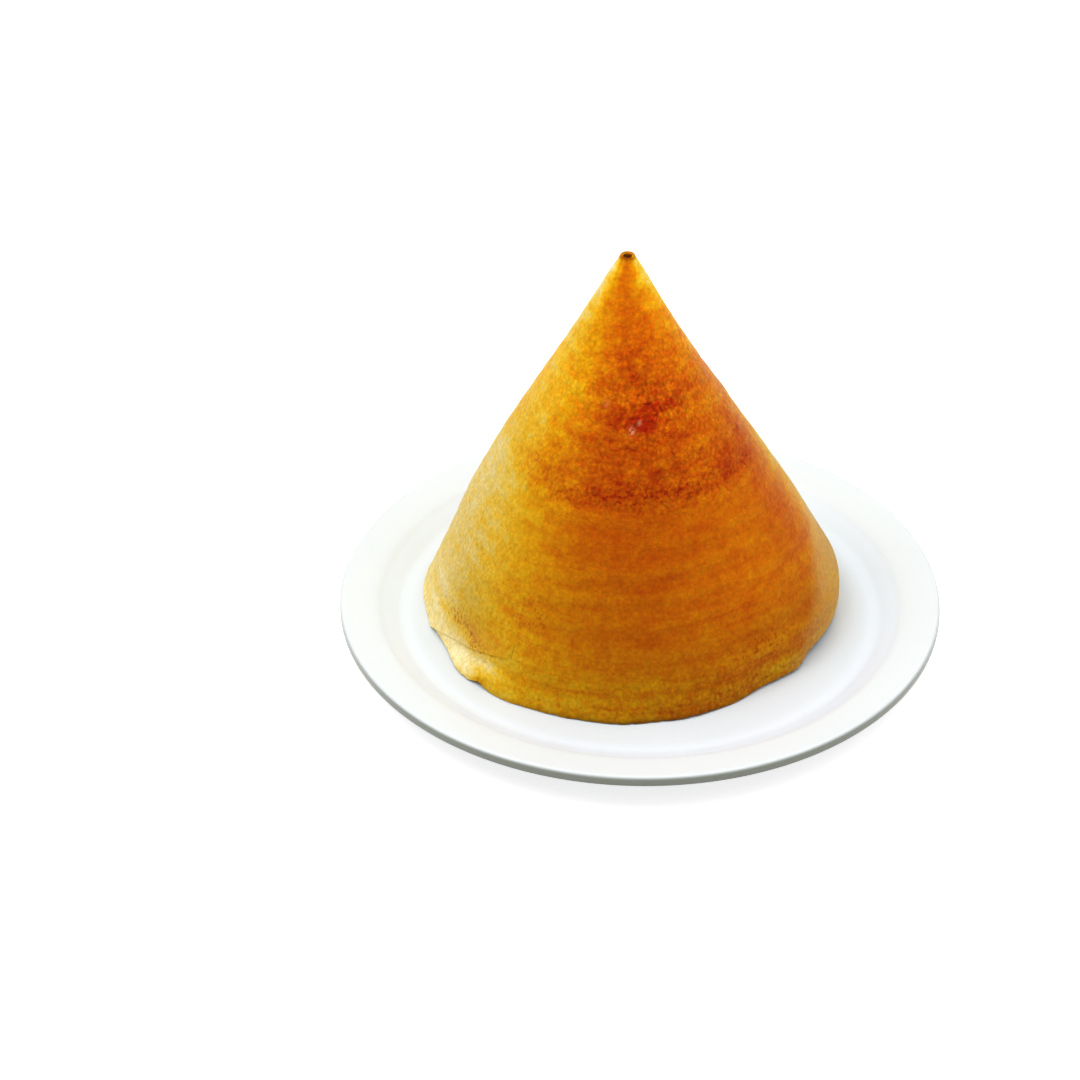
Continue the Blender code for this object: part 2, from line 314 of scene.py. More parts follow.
BOUNCE_START = 80.0  # degrees to the right at which the painted band of reflected light starts, at BOUNCE_START_SLANT
BOUNCE_START_SLANT = 0.77
BOUNCE_LEAN = 123.0  # how fast its edge comes forward below that
BOUNCE_FADE = 13.0  # degrees over which it grows stronger
BOUNCE_END = (98.0, 135.0)  # degrees to the right over which it fades out again
BOUNCE_TOP_SLANTS = (0.69, 0.79)
BOUNCE_LOW_SLANTS = (0.84, 0.95)
BOUNCE_STRENGTH = (0.72, 0.42)  # above and below these
BOUNCE_RAGS = ((8.0, 1 / 16, 5.0, 1.0), (3.0, 1 / 40, 9.0, 0.5))  # degrees, slant, where the noise is cut, size
BOUNCE_RAGGED_START = 5.0  # degrees by which the rags shift where it starts
BOUNCE_RAGGED_END = 25.0
BOUNCE_RAGGED_TOP = 0.06
BOUNCE_PATCHES = (((78, 0.80), (22, 0.20), 0.12), ((60, 0.915), (14, 0.035), 0.25))
GLINTS_ON_GHEE = (  # (azimuth, slant), spread of each, how strongly a highlight is painted on the drop of ghee there
    ((-3, 0.360), (1.9, 0.0055), 1.15),
    ((-9, 0.345), (1.5, 0.005), 0.6),
    ((17, 0.304), (1.8, 0.006), 0.35),
)

# ---------------------------------------------------------------- finishes
# The batter's grains, pores and crumbs are 0.3 to 0.8 mm and its scorched specks about 1 mm. They are too
# fine to show on a whole dish, so they are drawn as coarse as they need to. The rest have their real size.
BLOTCH_MM = 3.4
BATTER_NOISES = (  # name, size in mm, how many finer octaves
    ("grain", 0.9, 2.0),  # of the ground rice
    ("fleck", 1.45, 2.0),  # lighter and darker, whatever the hue
    ("speck", 1.7, 1.0),  # scorched
    ("drop", 2.0, 1.0),  # where highlights are painted on drops of ghee
    ("blotch", BLOTCH_MM, 3.0),  # where the batter fried unevenly
    ("cloud", 7.5, 1.0),  # the same, broader
)
STREAK_MM = (24.0, 3.2)  # along and across the ladle's strokes
STROKE_RADIUS_MM = 60.0  # they are drawn as if round a tube of this radius, from the tip to the hem
PORE_MM = 1.3
CRUMB_MM = 1.9  # the fried batter's small raised grains
STEAM_HOLE_MM = 2.2
NOISE_BROWNING = (("grain", 0.16), ("blotch", 0.46), ("cloud", 0.38), ("streak", 0.40))
NOISE_MEAN = 0.5  # above it a noise browns the skin, and below it pales it
PORE_EDGE = (0.12, 0.42)  # distances from a pore's middle, in PORE_MM
PORE_MEAN = 0.8  # the skin round the pores is 1 and their middles are 0
PORE_PALING = 0.07
PORE_DEPTH = 0.00012  # m, as all bump depths
PORE_BUMP = 0.6  # how deep the pores are beside the grain
BATTER_BUMP_STRENGTH = 0.7
STROKE_EDGE = (0.56, 0.74)  # the noise's values at the edge and at the crest of a streak
STROKE_BROWNING = 0.07  # the crests are browned a little more
SPECK_EDGE = (0.55, 0.65)  # the noise's values at the edge and in the middle of a speck
SPECK_BROWNING = 0.24
SPECK_LIGHTNESS = 0.66  # how much of its lightness a speck keeps
FLECK_CONTRAST = 0.40
CRUMB_MEAN = 0.42  # distance from a crumb's middle, in CRUMB_MM
CRUMB_CONTRAST = 0.50
CRUMB_LIGHTNESS = 1.033
BOUNCE_GAPS = (0.15, 0.50)  # the noise's values inside a gap in the painted band of reflected light and beside it
# painted reflected light: the pale beige of the band on the right
BOUNCE_COLOUR = "#e7b25c"
GLINT_EDGE = (0.40, 0.50)  # the noise's values at the edge and in the middle of a painted highlight on a bead of ghee
# painted highlight: the pale salmon of light glinting on ghee
PAINTED_GLINT_COLOUR = "#ffae78"
BATTER_ROUGHNESS = (0.38, 0.62)  # greasy and dry
BROWNING_COLOURS = (  # how browned, colour
    (-0.3, "#f4eabf"),
    (-0.12, "#efdc9c"),
    (0.0, "#ead080"),
    (0.1, "#ebc755"),
    (0.2, "#edba1f"),
    (0.33, "#eaa406"),
    (0.45, "#e48c02"),
    (0.6, "#d87100"),
    (0.72, "#cf5f00"),
    (0.85, "#c44e00"),
    (1.0, "#b43400"),
    (1.2, "#a41d01"),
    (1.5, "#861302"),
)
PALEST = BROWNING_COLOURS[0][0]
BROWNEST_LEVEL = BROWNING_COLOURS[-1][0]

STEAMED_COLOURS = ((0.35, "#a8742c"), (0.6, "#d9b468"), (0.9, "#eadcae"))  # tone, colour
STEAM_HOLE_DEPTH = 0.0003
STEAM_HOLE_PALING = 0.6  # the batter is paler between the holes
MOUTH_RIM_MM = (165.0, 188.0)  # heights between which the inside turns as brown as the mouth
MOUTH_RIM_COLOUR = "#f09a30"

GLAZE_CLOUD_MM = 50.0
GLAZE_CLOUDING = 0.03  # how much lighter or darker a cloud is
GLAZE_RIPPLE_MM = 18.0
GLAZE_RIPPLE_DEPTH = 0.0004
GLAZE_BUMP_STRENGTH = 0.25
PAINTED_TONE_START = WELL_RADIUS - 0.007  # from here to PAINTED_TONE_END its tone changes, over the slope: painted shade in the well, a painted cool cast on the slope
PAINTED_TONE_END = RIM_INNER_RADIUS + 0.0065
WHITES_WITH_PAINTED_LIGHT = ((0.0, "#d4dadd"), (0.32, "#dde5ec"), (0.62, "#dde5ec"), (0.85, "#d8dddd"))  # well to rim: darker in the well, painted shade, and lighter and bluer on the slope, painted against the dosa's warm reflected light
# painted shade: the darker grey-green of the rim's outer edge, which faces down and away from the light
PAINTED_EDGE_SHADE = "#a8ac9e"
EDGE_SHADE_RADII = (PLATE_RADIUS - 0.0002, PLATE_RADIUS + 0.0006)  # painted shade on the rim's outer edge
EDGE_SHADE_HEIGHTS = (PLATE_HEIGHT - 0.0006, PLATE_HEIGHT - 0.0016)
BARE_CLAY_COLOUR = "#cfc8ba"
BARE_CLAY_HEIGHTS = (0.0005, 0.0002)  # the foot ring is wiped clean up to here
PORCELAIN_ROUGHNESS = (0.3, 0.75)  # glazed and bare

# ---------------------------------------------------------------- the set
FLOOR_SIZE = 20.0
FLOOR_GLOW = 0.70
SOFTBOX_DISTANCE = 2.6
SOFTBOXES = (  # name, azimuth, elevation, width in m, watts
    ("key", 82, 57, 1.6, 25.0),
    ("top", 170, 78, 2.0, 21.0),
    ("fill", -78, 55, 1.6, 13.0),
)
SKY_GREYS = ((0.0, 0.10), (0.03, 0.41), (1.0, 0.97))  # height above the horizon, linear grey
CAMERA_DISTANCE = 2.0
CAMERA_ELEVATION = math.radians(35.9158)
CAMERA_AIM = Vector((-0.02278, 0.82111, -0.57031))  # the direction it looks in
CAMERA_LENS = 147.03  # mm
CAMERA_SENSOR = 36.0
CAMERA_REACH = (0.05, 100.0)  # nearest and farthest that it sees


# ---------------------------------------------------------------- arithmetic
def bump(value, centre, half_width):
    """1 at the centre, falling smoothly to 0 at half_width on either side."""
    distance = min(abs(value - centre) / half_width, 1.0)
    return 0.5 + 0.5 * math.cos(math.pi * distance)


def azimuth_bump(azimuth, centre, half_width):
    """A bump round the cone, where 360 degrees is 0 again."""
    return bump((azimuth - centre + 180.0) % 360.0, 180.0, half_width)


def smooth_step(value, low, high):
    """0 up to low, rising smoothly to 1 at high."""
    share = min(max((value - low) / (high - low), 0.0), 1.0)
    return share * share * (3.0 - 2.0 * share)


def mix(a, b, share):
    """a at share 0, b at share 1."""
    return a + (b - a) * share


def patch(azimuth, slant, place, spread):
    """1 in the middle of a patch at place (azimuth, slant), fading out over its spread."""
    across = ((azimuth - place[0] + 180.0) % 360.0 - 180.0) / spread[0]
    along = (slant - place[1]) / spread[1]
    return math.exp(-across * across - along * along)


def in_patches(azimuth, slant, patches):
    """The sum of these patches there."""
    return sum(amount * patch(azimuth, slant, place, spread) for place, spread, amount in patches)


def in_bands(azimuth, slant, bands):
    """The sum of these bands there: each sets in along the slant, on one side of the cone."""
    return sum(
        amount * smooth_step(slant, *slants) * azimuth_bump(azimuth, *side) for slants, side, amount in bands
    )


# ---------------------------------------------------------------- the rolled sheet
def azimuth_at(turn):
    """The azimuth of the sheet at this many degrees from its hidden inner end."""
    return (SEAM_AZIMUTH + SWEEP - turn) % 360.0


def foot_radius(azimuth):
    """The cone's radius at the plate: an egg, fuller on both sides of the back than at the front."""
    swells = sum(swell * azimuth_bump(azimuth, centre, width) for centre, width, swell in FOOT_SWELLS)
    return FRONT_RADIUS + swells


def fullness(azimuth, slant):
    """How far the wall stands out from a straight cone."""
    belly = BELLY * bump(slant, BELLY_SLANT, BELLY_REACH)
    reach = SHOULDER_REACH_UP if slant < SHOULDER_SLANT else SHOULDER_REACH_DOWN
    shoulder = SHOULDER * bump(slant, SHOULDER_SLANT, reach)
    winding = math.radians(RIPPLE_COUNT * azimuth + RIPPLE_START) + RIPPLE_TWIST * slant
    ripple = RIPPLE * math.sin(winding) * bump(slant, RIPPLE_SLANT, RIPPLE_REACH)
    return mix(belly, shoulder, azimuth_bump(azimuth, SHOULDER_AZIMUTH, SHOULDER_WIDTH)) + ripple


def flap_rise(azimuth):
    """How high the outer layer's hem has climbed at this azimuth, on its way to the seam."""
    return FLAP_RISE * max(0.0, 1.0 - (azimuth - SEAM_AZIMUTH) / FLAP_WIDTH) ** FLAP_BEND


def hem_ruffle(turn, slant):
    """How far the last of the slant stands out from the wall."""
    azimuth = azimuth_at(turn)
    waves = sum(high * math.sin(math.radians(count * azimuth + start)) for count, start, high in RUFFLE_WAVES)
    curl = CURL * azimuth_bump(azimuth, CURL_AZIMUTH, CURL_WIDTH)
    ruffle = (RUFFLE * waves + curl) * smooth_step(slant, RUFFLE_SLANT, 1.0)
    bared = flap_rise(azimuth) / CONE_HEIGHT
    if turn < OVERLAP and bared > 0.0:
        spread = smooth_step(slant, 1.0 - FLARE_SHARE * bared, 1.0)
        ruffle += FLARE * spread * bump(azimuth, FLARE_AZIMUTH, FLARE_WIDTH)
    return ruffle


def hem_chips(turn):
    """How far the crisp edge has broken off there."""
    along = math.radians(turn) * FRONT_RADIUS / HEM_CHIP_WIDTH
    chips = sum(deep * noise.noise(Vector((along * count, 0.0, cut))) for count, cut, deep in HEM_CHIPS)
    return HEM_CHIP_DEPTH * max(0.0, chips)


def hem_height(turn):
    """How far the sheet's lower edge stays above the plate at this turn."""
    azimuth = azimuth_at(turn)
    wave = HEM_WAVE * (1.0 + math.sin(math.radians(HEM_WAVE_COUNT * azimuth)))
    edge = wave * azimuth_bump(azimuth, HEM_WAVE_AZIMUTH, HEM_WAVE_WIDTH) + hem_chips(turn)
    if turn > 360.0:
        return edge + flap_rise(azimuth)
    lift = HEM_LIFT * azimuth_bump(azimuth, HEM_LIFT_AZIMUTH, HEM_LIFT_WIDTH)
    return edge + lift + HEM_NOTCH * azimuth_bump(azimuth, HEM_NOTCH_AZIMUTH, HEM_NOTCH_WIDTH)


def sheet_place(turn, share):
    """(azimuth, slant) of the sheet at this turn, from its upper edge (share 0) to its hem (share 1)."""
    hidden = 1.0 - min(turn / OVERLAP, 1.0)
    upper = HIDDEN_END_DROP * smooth_step(hidden, 0.0, 0.5)
    lower = 1.0 - (hem_height(turn) + HIDDEN_END_LIFT * hidden) / CONE_HEIGHT
    return azimuth_at(turn), mix(upper, lower, share)


def flat_angle(turn):
    """The angle at which that turn lay on the griddle, seen from the middle of the flat crepe."""
    return math.radians(turn) * math.sin(OPENING)


def ladle_rings(turn, slant):
    """-1 in the furrows and 1 on the ridges of the spiral that the ladle left."""
    angle = flat_angle(turn)
    reach = slant * SLANT_LENGTH
    across, back = math.cos(angle), math.sin(angle)
    sway = noise.noise(Vector((across, back, reach / RING_SWAY_LENGTH)) * RING_SWAY_COUNT)
    ridge = math.sin(math.tau * (reach / RING_SPACING + angle / math.tau + RING_SWAY * sway))
    spot = (RING_FADING_COUNT * across, RING_FADING_COUNT * back, reach / RING_FADING_LENGTH)
    strength = RING_STRENGTH + RING_FADING * noise.noise(Vector(spot))
    return ridge * min(max(strength, 0.0), 1.0)


def relief(turn, slant, point):
    """How far the sheet stands proud of its smooth form."""
    dents = DENT_RELIEF * noise.noise(point / DENT_WIDTH) * smooth_step(slant, *DENT_SLANTS)
    blisters = BLISTER_RELIEF * noise.noise(point / BLISTER_WIDTH) * smooth_step(slant, *BLISTER_SLANTS)
    return dents + blisters + RING_RELIEF * ladle_rings(turn, slant) * smooth_step(slant, *RING_SLANTS)


def on_the_flap(turn, share):
    """1 at the edge of the flap, fading out above it and towards the back."""
    return smooth_step(turn, *FLAP_TURNS) * smooth_step(share, *FLAP_SHARES)


def sheet_point(turn, share):
    """The sheet's outer face there."""
    azimuth, slant = sheet_place(turn, share)
    pitch = mix(TIP_PITCH, BASE_PITCH, min(slant * PITCH_GROWTH, 1.0))
    radius = mix(TIP_RADIUS, foot_radius(azimuth), slant) + fullness(azimuth, slant) + hem_ruffle(turn, slant)
    radius -= pitch * (SWEEP - turn) / 360.0
    seam_step = SEAM_STEP + SEAM_LIFT * smooth_step(slant, *SEAM_LIFT_SLANTS)
    cling = FLAP_CLING * on_the_flap(turn, share)
    radius -= mix(cling, pitch - seam_step, smooth_step(turn, SWEEP - SEAM_DIP, SWEEP))
    radius -= TIP_PINCH * (1.0 - smooth_step(slant, 0.0, TIP_PINCH_SLANT))
    axis = CONE_TIP.lerp(CONE_BASE, slant)
    angle = math.radians(azimuth)
    outwards = Vector((-math.sin(angle), -math.cos(angle), 0.0))
    radius += relief(turn, slant, axis + outwards * radius)
    return axis + outwards * radius


def thickness_share(turn, share):
    """The sheet's thickness here, as a share of SHEET_THICKNESS."""
    slant = sheet_place(turn, share)[1]
    thickness = mix(TIP_THICKNESS, SHEET_THICKNESS, smooth_step(slant, *TIP_TAPER))
    thickness = mix(thickness, HEM_THICKNESS, smooth_step(slant, *HEM_TAPER))
    thickness = mix(thickness, min(thickness, FLAP_THICKNESS), on_the_flap(turn, share))
    seam = SEAM_THICKNESS * (1.0 + SEAM_CORNER * smooth_step(slant, *SEAM_CORNER_SLANTS))
    return mix(seam, thickness, smooth_step(SWEEP - turn, 0.0, SEAM_TAPER)) / SHEET_THICKNESS


# ---------------------------------------------------------------- what the griddle did to it
def at_mouth(azimuth, slant):
    """1 on the browned lip of the mouth at the tip."""
    lip = 1.0 - smooth_step(slant, *MOUTH_SLANTS)
    return lip * mix(*MOUTH_ROUND, azimuth_bump(azimuth, *MOUTH_FRONT))


def browning(azimuth, slant):
    """How far the griddle has browned the sheet there."""
    upper = 1.0 - smooth_step(slant, *UPPER_SLANTS)
    wall = azimuth_bump(azimuth, *BROWNEST) ** BROWNEST_BEND
    wall += BACK_BROWNING * azimuth_bump(azimuth, *BACK_BROWN)
    level = mix(mix(*PALE_SIDE, upper), mix(*BROWN_SIDE, upper), wall)
    tip = 1.0 - smooth_step(slant, *TIP_SLANTS)
    level -= TIP_PALING * tip * mix(*TIP_PALING_ROUND, azimuth_bump(azimuth, *TIP_PALING_BACK))
    level += in_bands(azimuth, slant, BROWN_BANDS) + in_patches(azimuth, slant, BROWN_PATCHES)
    return mix(level, MOUTH_BROWNING, at_mouth(azimuth, slant))


def toast_and_painted_shade(azimuth, slant):
    """How much of its lightness the sheet keeps, whatever its hue: toast, and painted shade below the tip and
    at the hem.
    """
    light = TIP_LIGHTNESS - WALL_PAINTED_SHADE * smooth_step(slant, *WALL_SLANTS)
    light -= HEM_PAINTED_SHADE * smooth_step(slant, *HEM_SLANTS)
    light += in_bands(azimuth, slant, TOAST_AND_SHADE_BANDS) + in_patches(azimuth, slant, TOAST_PATCHES)
    return light - MOUTH_DARKENING * at_mouth(azimuth, slant)


def speckling(azimuth, slant):
    """How thickly the small dark specks lie there."""
    return SPECKS_EVERYWHERE + in_patches(azimuth, slant, SPECK_CLUSTERS)


def mottling(azimuth, slant):
    """How strongly the grain shows there."""
    fried = azimuth_bump(azimuth, *FRIED) * (1.0 - smooth_step(slant, *FRIED_END_SLANTS))
    fried *= mix(FRIED_TIP, 1.0, smooth_step(slant, *FRIED_START_SLANTS))
    fried += in_bands(azimuth, slant, FRIED_BANDS) + in_patches(azimuth, slant, FRIED_PATCHES)
    return GRAIN_EVERYWHERE + GRAIN_FRIED * fried


def painted_bounce_light(azimuth, slant):
    """How strongly a pale beige band is painted over the browned skin on the right, standing in for light
    reflected from the white plate and surroundings. The patches paint the same beige on the left.
    """
    to_right = -azimuth % 360.0
    ragged = 0.0
    for across, along, cut, size in BOUNCE_RAGS:
        ragged += size * noise.noise(Vector((azimuth / across, slant / along, cut)))
    start = BOUNCE_START - BOUNCE_LEAN * (slant - BOUNCE_START_SLANT) + BOUNCE_RAGGED_START * ragged
    painted_bounce = smooth_step(to_right, start, start + BOUNCE_FADE)
    painted_bounce *= 1.0 - smooth_step(to_right + BOUNCE_RAGGED_END * ragged, *BOUNCE_END)
    painted_bounce *= smooth_step(slant + BOUNCE_RAGGED_TOP * ragged, *BOUNCE_TOP_SLANTS)
    painted_bounce *= mix(*BOUNCE_STRENGTH, smooth_step(slant, *BOUNCE_LOW_SLANTS))
    return painted_bounce + in_patches(azimuth, slant, BOUNCE_PATCHES)


def painted_glints(azimuth, slant):
    """1 where a highlight is painted on a drop of ghee."""
    return in_patches(azimuth, slant, GLINTS_ON_GHEE)


TRACES = (browning, toast_and_painted_shade, speckling, mottling, painted_bounce_light, painted_glints)


def record_on_the_sheet(mesh, places):
    """What the finish reads at each point: the griddle's traces, and where it lies along the strokes."""
    levels = {trace.__name__: [] for trace in TRACES}
    stroke_mm = []
    for turn, share in places:
        azimuth, slant = sheet_place(turn, share)
        for trace in TRACES:
            levels[trace.__name__].append(trace(azimuth, slant))
        levels["browning"][-1] -= RING_BROWNING * ladle_rings(turn, slant)
        around = math.radians(azimuth)
        reach = 1000 * slant * SLANT_LENGTH
        stroke_mm += (STROKE_RADIUS_MM * math.sin(around), STROKE_RADIUS_MM * math.cos(around), reach)
    for name, values in levels.items():
        mesh.attributes.new(name, "FLOAT", "POINT").data.foreach_set("value", values)
    mesh.attributes.new("stroke_mm", "FLOAT_VECTOR", "POINT").data.foreach_set("vector", stroke_mm)


def rolled_sheet():
    """The dosa: one sheet, a grid bent into a spiral cone and then given its thickness inwards."""
    shape = bmesh.new()
    bmesh.ops.create_grid(shape, x_segments=TURN_STEPS, y_segments=SLANT_STEPS, size=0.5)
    places = [(SWEEP * (v.co.x + 0.5), 1.0 - (v.co.y + 0.5) ** HEM_CROWDING) for v in shape.verts]
    for vertex, (turn, share) in zip(shape.verts, places):
        vertex.co = sheet_point(turn, share)
    mesh = bpy.data.meshes.new("dosa_sheet")
    shape.to_mesh(mesh)
    shape.free()
    record_on_the_sheet(mesh, places)
    dosa = bpy.data.objects.new("dosa_sheet", mesh)
    weights = dosa.vertex_groups.new(name="thickness")
    for index, (turn, share) in enumerate(places):
        weights.add([index], thickness_share(turn, share), "REPLACE")
    solidify = dosa.modifiers.new("sheet", "SOLIDIFY")
    solidify.thickness = SHEET_THICKNESS
    solidify.offset = -1.0
    solidify.vertex_group = weights.name
    solidify.material_offset = 1
    dosa.modifiers.new("crisp_edges", "EDGE_SPLIT").split_angle = math.radians(CRISP_ANGLE)
    return dosa


# ---------------------------------------------------------------- the plate
def rounded(corners):
    """A polyline through (radius, height, fillet) corners, with an arc of points at each fillet."""
    line = []
    for before, corner, after in zip(corners, corners[1:], corners[2:]):
        here = Vector(corner[:2])
        back = Vector(before[:2]) - here
        on = Vector(after[:2]) - here
        half_turn = (math.pi - back.angle(on)) / 2
        longest = 0.48 * min(back.length, on.length)  # the arcs of two neighbouring corners stay apart
        reach = min(corner[2] * math.tan(half_turn), longest)
        start = here + back.normalized() * reach
        end = here + on.normalized() * reach
        for step in range(ARC_STEPS + 1):
            t = step / ARC_STEPS
            line.append(start.lerp(here, t).lerp(here.lerp(end, t), t))
    return [Vector(corners[0][:2])] + line + [Vector(corners[-1][:2])]


def turned_plate():
    """The plate: its half section turned about Z."""
    under_rim = PLATE_HEIGHT - RIM_EDGE_DEPTH
    under_well = WELL_HEIGHT - CERAMIC_THICKNESS
    foot_inner = FOOT_RADIUS - FOOT_WIDTH
    section = rounded(
        [
            (0.0, WELL_HEIGHT, 0.0),
            (WELL_RADIUS, WELL_HEIGHT, SLOPE_FILLET),
            (RIM_INNER_RADIUS, RIM_INNER_HEIGHT, RIM_FILLET),
            (PLATE_RADIUS, PLATE_HEIGHT, EDGE_TOP_FILLET),
            (PLATE_RADIUS, under_rim, EDGE_UNDER_FILLET),
            (RIM_INNER_RADIUS, RIM_INNER_HEIGHT - CERAMIC_THICKNESS, SLOPE_FILLET),
            (FOOT_RADIUS, FOOT_NECK_HEIGHT, NECK_FILLET),
            (FOOT_RADIUS, 0.0, FOOT_FILLET),
            (foot_inner, 0.0, FOOT_FILLET),
            (foot_inner - FOOT_SLOPE, under_well, INNER_FILLET),
            (0.0, under_well, 0.0),
        ]
    )
    mesh = bpy.data.meshes.new("porcelain_plate")
    edges = [(i, i + 1) for i in range(len(section) - 1)]
    mesh.from_pydata([(p.x, 0.0, p.y) for p in section], edges, [])
    turned = bpy.data.objects.new("porcelain_plate", mesh)
    screw = turned.modifiers.new("turn", "SCREW")
    screw.steps = screw.render_steps = PLATE_STEPS
    screw.use_merge_vertices = True
    screw.merge_threshold = AXIS_MERGE
    screw.use_normal_calculate = True
    return turned


# ---------------------------------------------------------------- finishes
def linear(hex_colour):
    """An sRGB hex colour as linear RGBA."""
    srgb = [int(hex_colour[i : i + 2], 16) / 255 for i in (1, 3, 5)]
    return (*(c / 12.92 if c <= 0.04045 else ((c + 0.055) / 1.055) ** 2.4 for c in srgb), 1.0)


def add(tree, kind, inputs, **settings):
    """A new node with its settings. Each input is linked if it is given a socket, and otherwise set."""
    node = tree.nodes.new(kind)
    for name, value in settings.items():
        setattr(node, name, value)
    for socket, value in inputs.items():
        if isinstance(value, bpy.types.NodeSocket):
            tree.links.new(value, node.inputs[socket])
        else:
            node.inputs[socket].default_value = value
    return node


def new_finish(name, inputs):
    """A new material, its node tree and its Principled shader with these inputs set."""
    made = bpy.data.materials.new(name)
    made.use_nodes = True
    shader = made.node_tree.nodes["Principled BSDF"]
    for socket, value in inputs.items():
        shader.inputs[socket].default_value = value
    return made, made.node_tree, shader


def in_mm(tree):
    """The place on the object, in mm."""
    place = add(tree, "ShaderNodeTexCoord", {}).outputs["Object"]
    return add(tree, "ShaderNodeVectorMath", {0: place, 3: 1000.0}, operation="SCALE").outputs[0]


def set_stops(ramp, stops):
    """Gives a colour ramp these (position, linear colour) stops."""
    elements = ramp.color_ramp.elements
    while len(elements) > 1:
        elements.remove(elements[-1])
    elements[0].position, elements[0].color = stops[0]
    for position, colour in stops[1:]:
        elements.new(position).color = colour


def griddled_rice_batter():
    """Fermented rice and black gram batter, spread with a ladle and griddled crisp in ghee. The eye sees a
    matt, slightly greasy skin, gold to sienna as the ghee fried it: fine grains, pores and crumbs, blotches
    of a few millimetres, streaks along the ladle's strokes and scorched specks. Painted into its colour are
    shade, darker down the wall and at the hem, a beige band of reflected light on the right, and highlights
    glinting on drops of ghee."""
    made, tree, shader = new_finish("griddled_rice_batter", {"Specular IOR Level": 0.05})
    traces = [
        add(tree, "ShaderNodeAttribute", {}, attribute_name=trace.__name__).outputs["Fac"] for trace in TRACES
    ]
    level, toast_and_shade, specks, coarse, painted_bounce, where_glints = traces
    place = in_mm(tree)
    noises = {}
    for name, size, detail in BATTER_NOISES:
        inputs = {"Vector": place, "Scale": 1 / size, "Detail": detail}
        noises[name] = add(tree, "ShaderNodeTexNoise", inputs).outputs["Fac"]
    stroke = add(tree, "ShaderNodeAttribute", {}, attribute_name="stroke_mm").outputs["Vector"]
    stretch = (1 / STREAK_MM[0], 1 / STREAK_MM[0], 1 / STREAK_MM[1])
    along = add(tree, "ShaderNodeVectorMath", {0: stroke, 1: stretch}, operation="MULTIPLY").outputs[0]
    inputs = {"Vector": along, "Scale": 1.0, "Detail": 3.0, "Roughness": 0.6}
    noises["streak"] = add(tree, "ShaderNodeTexNoise", inputs).outputs["Fac"]
    pore = add(tree, "ShaderNodeTexVoronoi", {"Vector": place, "Scale": 1 / PORE_MM}).outputs["Distance"]
    crumb = add(tree, "ShaderNodeTexVoronoi", {"Vector": place, "Scale": 1 / CRUMB_MM}).outputs["Distance"]

    # the hue
    for name, amount in NOISE_BROWNING:
        inputs = {0: noises[name], 1: NOISE_MEAN}
        centred = add(tree, "ShaderNodeMath", inputs, operation="SUBTRACT").outputs[0]
        scaled = add(tree, "ShaderNodeMath", {0: centred, 1: coarse}, operation="MULTIPLY").outputs[0]
        inputs = {0: scaled, 1: amount, 2: level}
        level = add(tree, "ShaderNodeMath", inputs, operation="MULTIPLY_ADD").outputs[0]
    inputs = {"Value": pore, "From Min": PORE_EDGE[0], "From Max": PORE_EDGE[1]}
    skin = add(tree, "ShaderNodeMapRange", inputs).outputs[0]  # 0 in the pores and 1 round them
    centred = add(tree, "ShaderNodeMath", {0: skin, 1: PORE_MEAN}, operation="SUBTRACT").outputs[0]
    scaled = add(tree, "ShaderNodeMath", {0: centred, 1: coarse}, operation="MULTIPLY").outputs[0]
    inputs = {0: scaled, 1: PORE_PALING, 2: level}
    level = add(tree, "ShaderNodeMath", inputs, operation="MULTIPLY_ADD").outputs[0]
    inputs = {"Value": noises["streak"], "From Min": STROKE_EDGE[0], "From Max": STROKE_EDGE[1]}
    crests = add(tree, "ShaderNodeMapRange", inputs).outputs[0]
    inputs = {0: crests, 1: STROKE_BROWNING, 2: level}
    level = add(tree, "ShaderNodeMath", inputs, operation="MULTIPLY_ADD").outputs[0]
    inputs = {"Value": noises["speck"], "From Min": SPECK_EDGE[0], "From Max": SPECK_EDGE[1]}
    dots = add(tree, "ShaderNodeMapRange", inputs).outputs[0]
    scorched = add(tree, "ShaderNodeMath", {0: dots, 1: specks}, operation="MULTIPLY").outputs[0]
    inputs = {0: scorched, 1: SPECK_BROWNING, 2: level}
    level = add(tree, "ShaderNodeMath", inputs, operation="MULTIPLY_ADD").outputs[0]
    inputs = {"Value": level, "From Min": PALEST, "From Max": BROWNEST_LEVEL}
    ramp = add(tree, "ShaderNodeValToRGB", {0: add(tree, "ShaderNodeMapRange", inputs).outputs[0]})
    span = BROWNEST_LEVEL - PALEST
    set_stops(ramp, [((stop - PALEST) / span, linear(colour)) for stop, colour in BROWNING_COLOURS])
    # painted reflected light: the beige band mixed over the hue, broken where the blotch noise is low
    inputs = {"Value": noises["blotch"], "From Min": BOUNCE_GAPS[0], "From Max": BOUNCE_GAPS[1]}
    whole = add(tree, "ShaderNodeMapRange", inputs).outputs[0]
    painted_bounce = add(tree, "ShaderNodeMath", {0: painted_bounce, 1: whole}, operation="MULTIPLY").outputs[0]
    inputs = {0: painted_bounce, 6: ramp.outputs["Color"], 7: linear(BOUNCE_COLOUR)}
    hue = add(tree, "ShaderNodeMix", inputs, data_type="RGBA").outputs[2]

